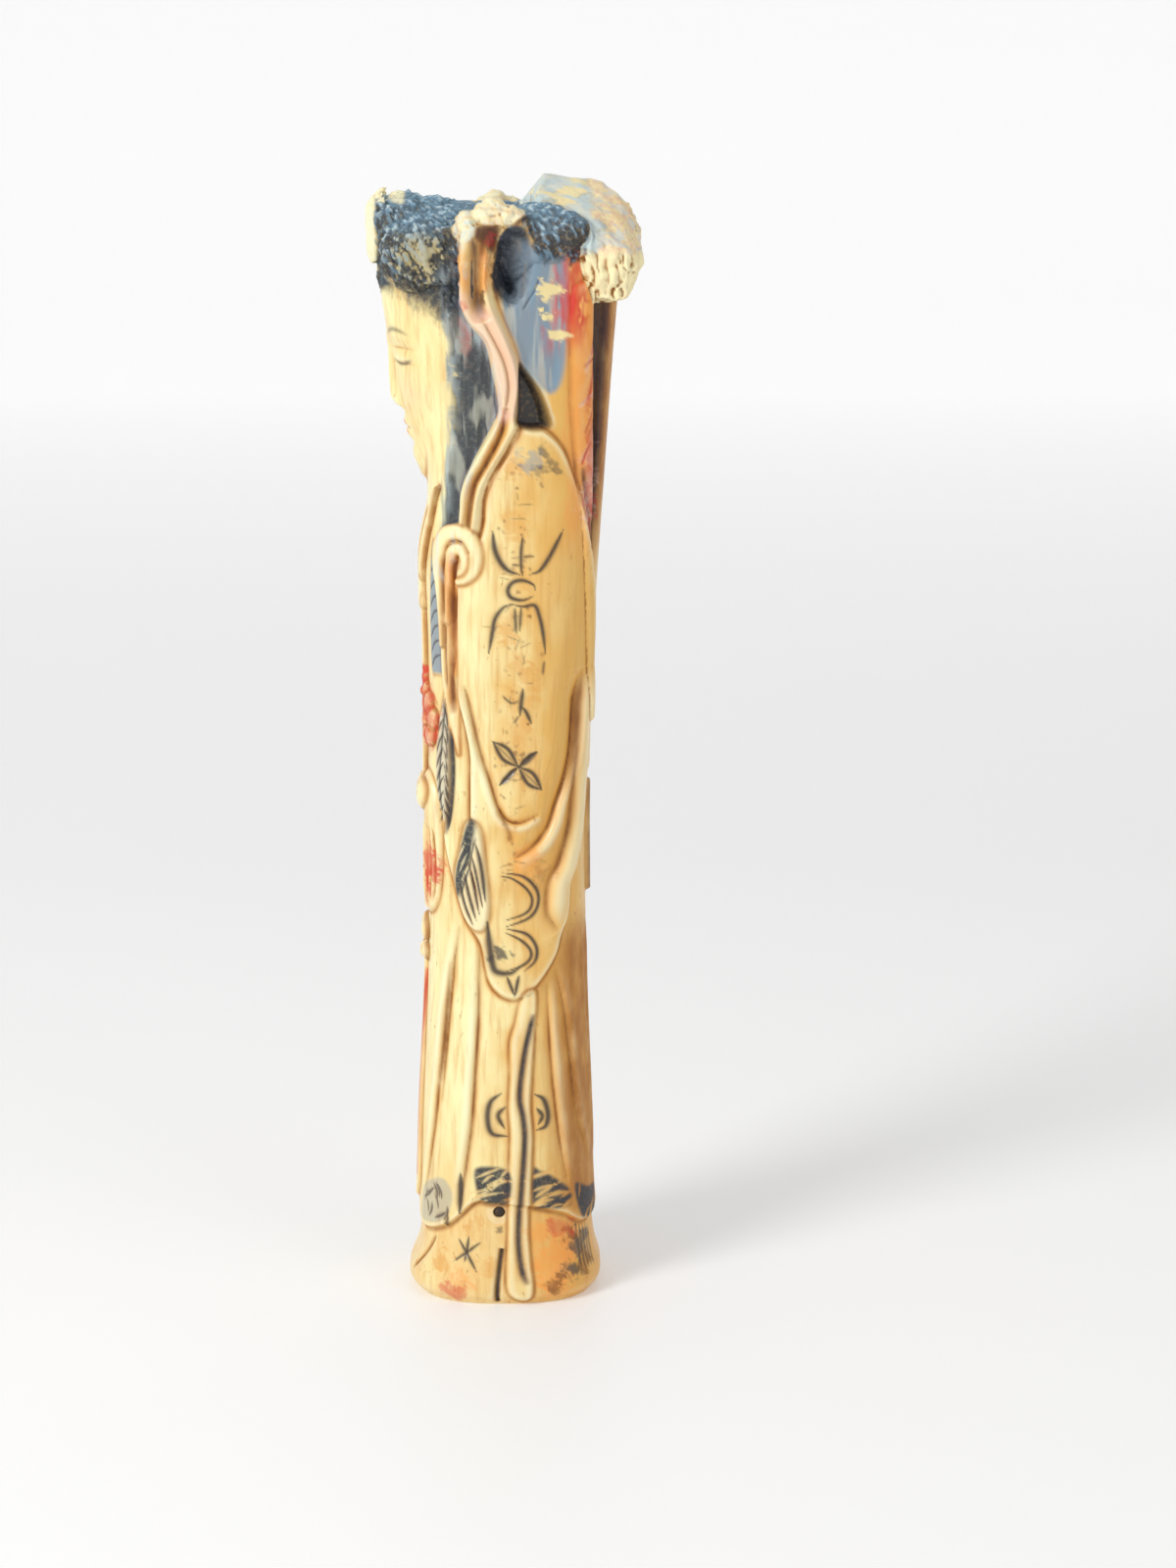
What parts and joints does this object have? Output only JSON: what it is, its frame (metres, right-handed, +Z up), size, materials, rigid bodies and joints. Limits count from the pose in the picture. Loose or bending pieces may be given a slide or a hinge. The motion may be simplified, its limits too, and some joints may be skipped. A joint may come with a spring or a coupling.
{
  "type": "carved bone figure",
  "caption": "Slender standing robed figure carved from a hollow leg bone, with hanging sleeves, scarf curls and a rough joint end behind the head; stands on its flat foot.",
  "frame": {"origin": "centre of the figure's footprint box at the level of its foot", "axes": "+Z up from the foot to the crown; the figure faces -Y; +X is the figure's left side"},
  "size_m": [0.0316, 0.0426, 0.18],
  "materials": {
    "carved_bone": "old bone, polished, with ink, red and brown stain in the carving",
    "inked_plug": "bone plug under worn black ink",
    "plain_plug": "sawn bone, dull",
    "peg": "bone peg stained dark"
  },
  "bodies": {
    "root": {"carved_bone": "carved_bone", "crown_plug": "inked_plug", "foot_plug": "plain_plug", "left_peg": "peg", "right_peg": "peg"}
  },
  "joints": []
}
